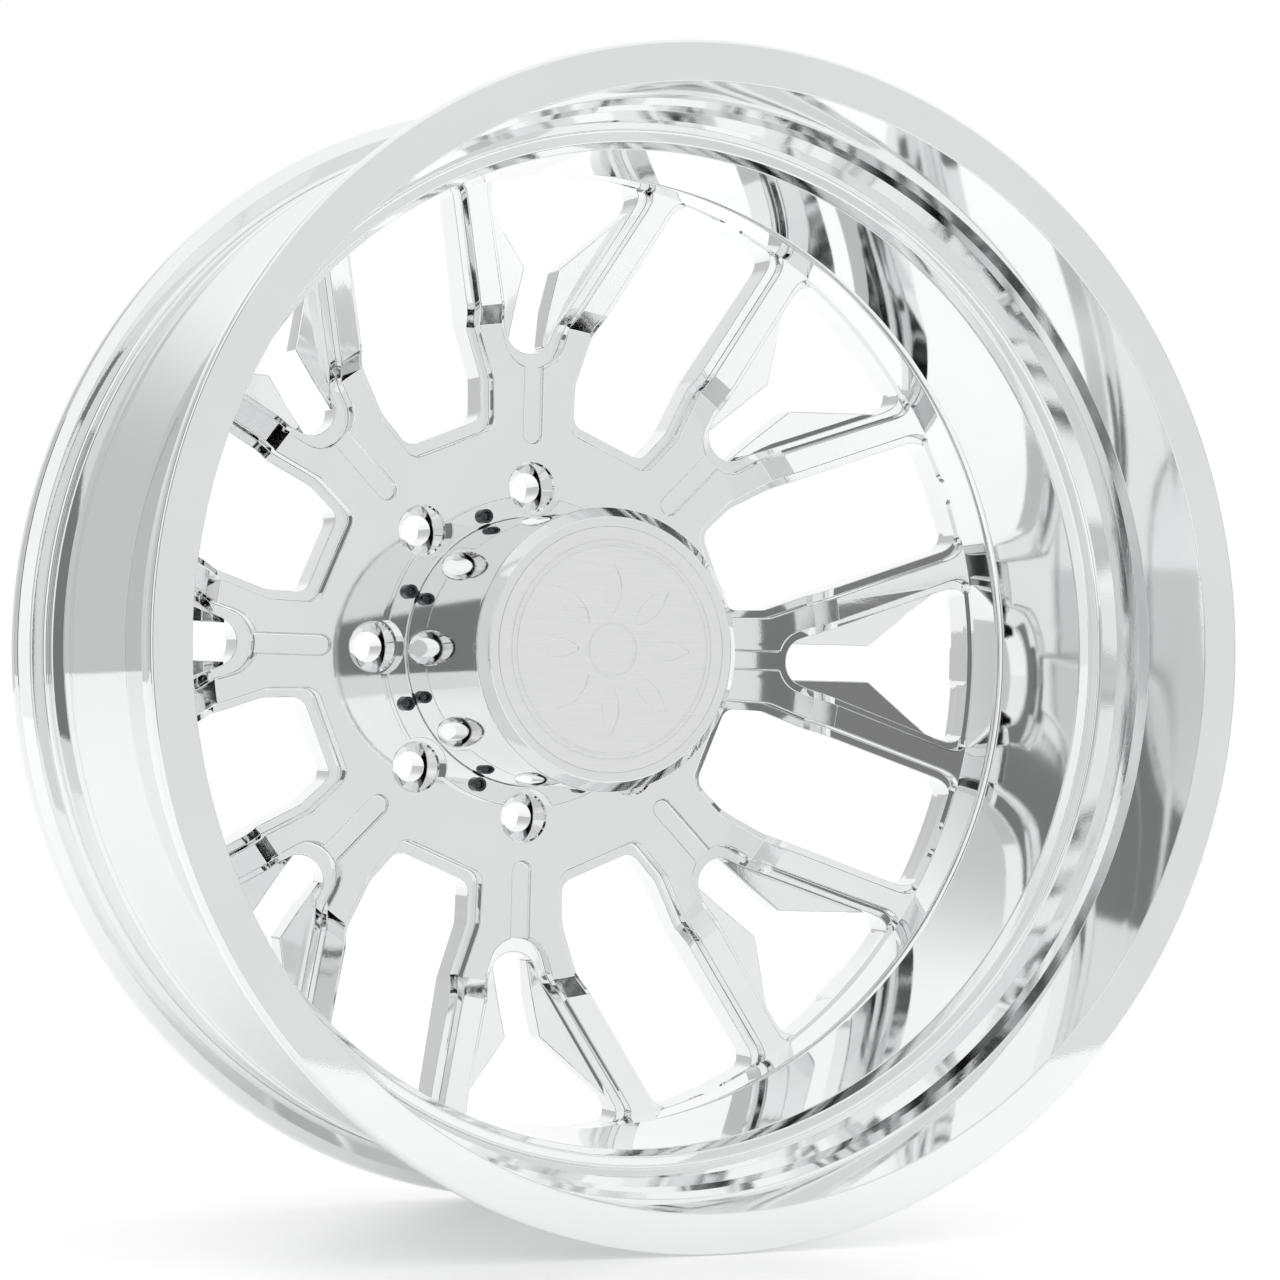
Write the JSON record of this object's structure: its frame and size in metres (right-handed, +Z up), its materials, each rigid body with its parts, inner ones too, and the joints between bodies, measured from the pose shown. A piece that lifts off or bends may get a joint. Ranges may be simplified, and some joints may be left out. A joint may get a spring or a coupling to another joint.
{
  "type": "wheel rim",
  "caption": "Deep-dish forged aluminium wheel rim with Y-shaped spokes set far back, a tubular hub cap with a lid and a hidden tyre valve.",
  "frame": {"origin": "centre of the hub bore on the mounting face, the face that bears on the hub", "axes": "+Y along the axle, from the open dish towards the vehicle; +Z up; the tyre valve is on the -X side"},
  "size_m": [0.649, 0.3053, 0.6488],
  "materials": {
    "rim": "polished to a mirror",
    "centre": "brushed satin, with milled edges",
    "weld": "weld bead, dull",
    "cap": "polished to a mirror",
    "gasket": "matt black",
    "screw": "zinc plated, satin",
    "o_ring": "matt black",
    "emblem": "fine turned, with a milled pattern",
    "valve_nickel": "nickel plated",
    "valve_rubber": "matt black",
    "valve_brass": "machined",
    "valve_seal": "white seal",
    "valve_spring": "drawn wire"
  },
  "bodies": {
    "wheel": {"rim_barrel": "rim", "wheel_centre": "centre", "centre_weld": "weld", "cap_body": "cap", "cap_gasket": "gasket", "cap_screws": "screw", "valve_stem": "valve_nickel", "valve_grommet": "valve_rubber", "valve_washer": "valve_nickel", "valve_nut": "valve_nickel", "valve_core_body": "valve_brass", "valve_core_seal": "valve_seal", "valve_core_spring": "valve_spring"},
    "lid": {"cap_lid": "cap", "lid_o_ring": "o_ring", "emblem_disc": "emblem", "emblem_screws": "screw"},
    "core_pin": {"valve_core_pin": "valve_brass", "valve_pin_seal": "valve_rubber"},
    "dust_cap": {"valve_cap": "valve_nickel", "valve_cap_seal": "valve_rubber"}
  },
  "joints": [
    {"name": "lid_pull", "type": "slide", "parent": "wheel", "child": "lid", "axis": [0, -1, 0], "range_m": [0, 0.018]},
    {"name": "core_pin_press", "type": "slide", "parent": "wheel", "child": "core_pin", "axis": [-1, 0, 0], "range_m": [0, 0.0012], "stiffness_N_per_m": 1500, "springref_m": -0.001, "deforming": ["valve_core_spring"]},
    {"name": "dust_cap_off", "type": "slide", "parent": "wheel", "child": "dust_cap", "axis": [1, 0, 0], "range_m": [0, 0.01]}
  ]
}
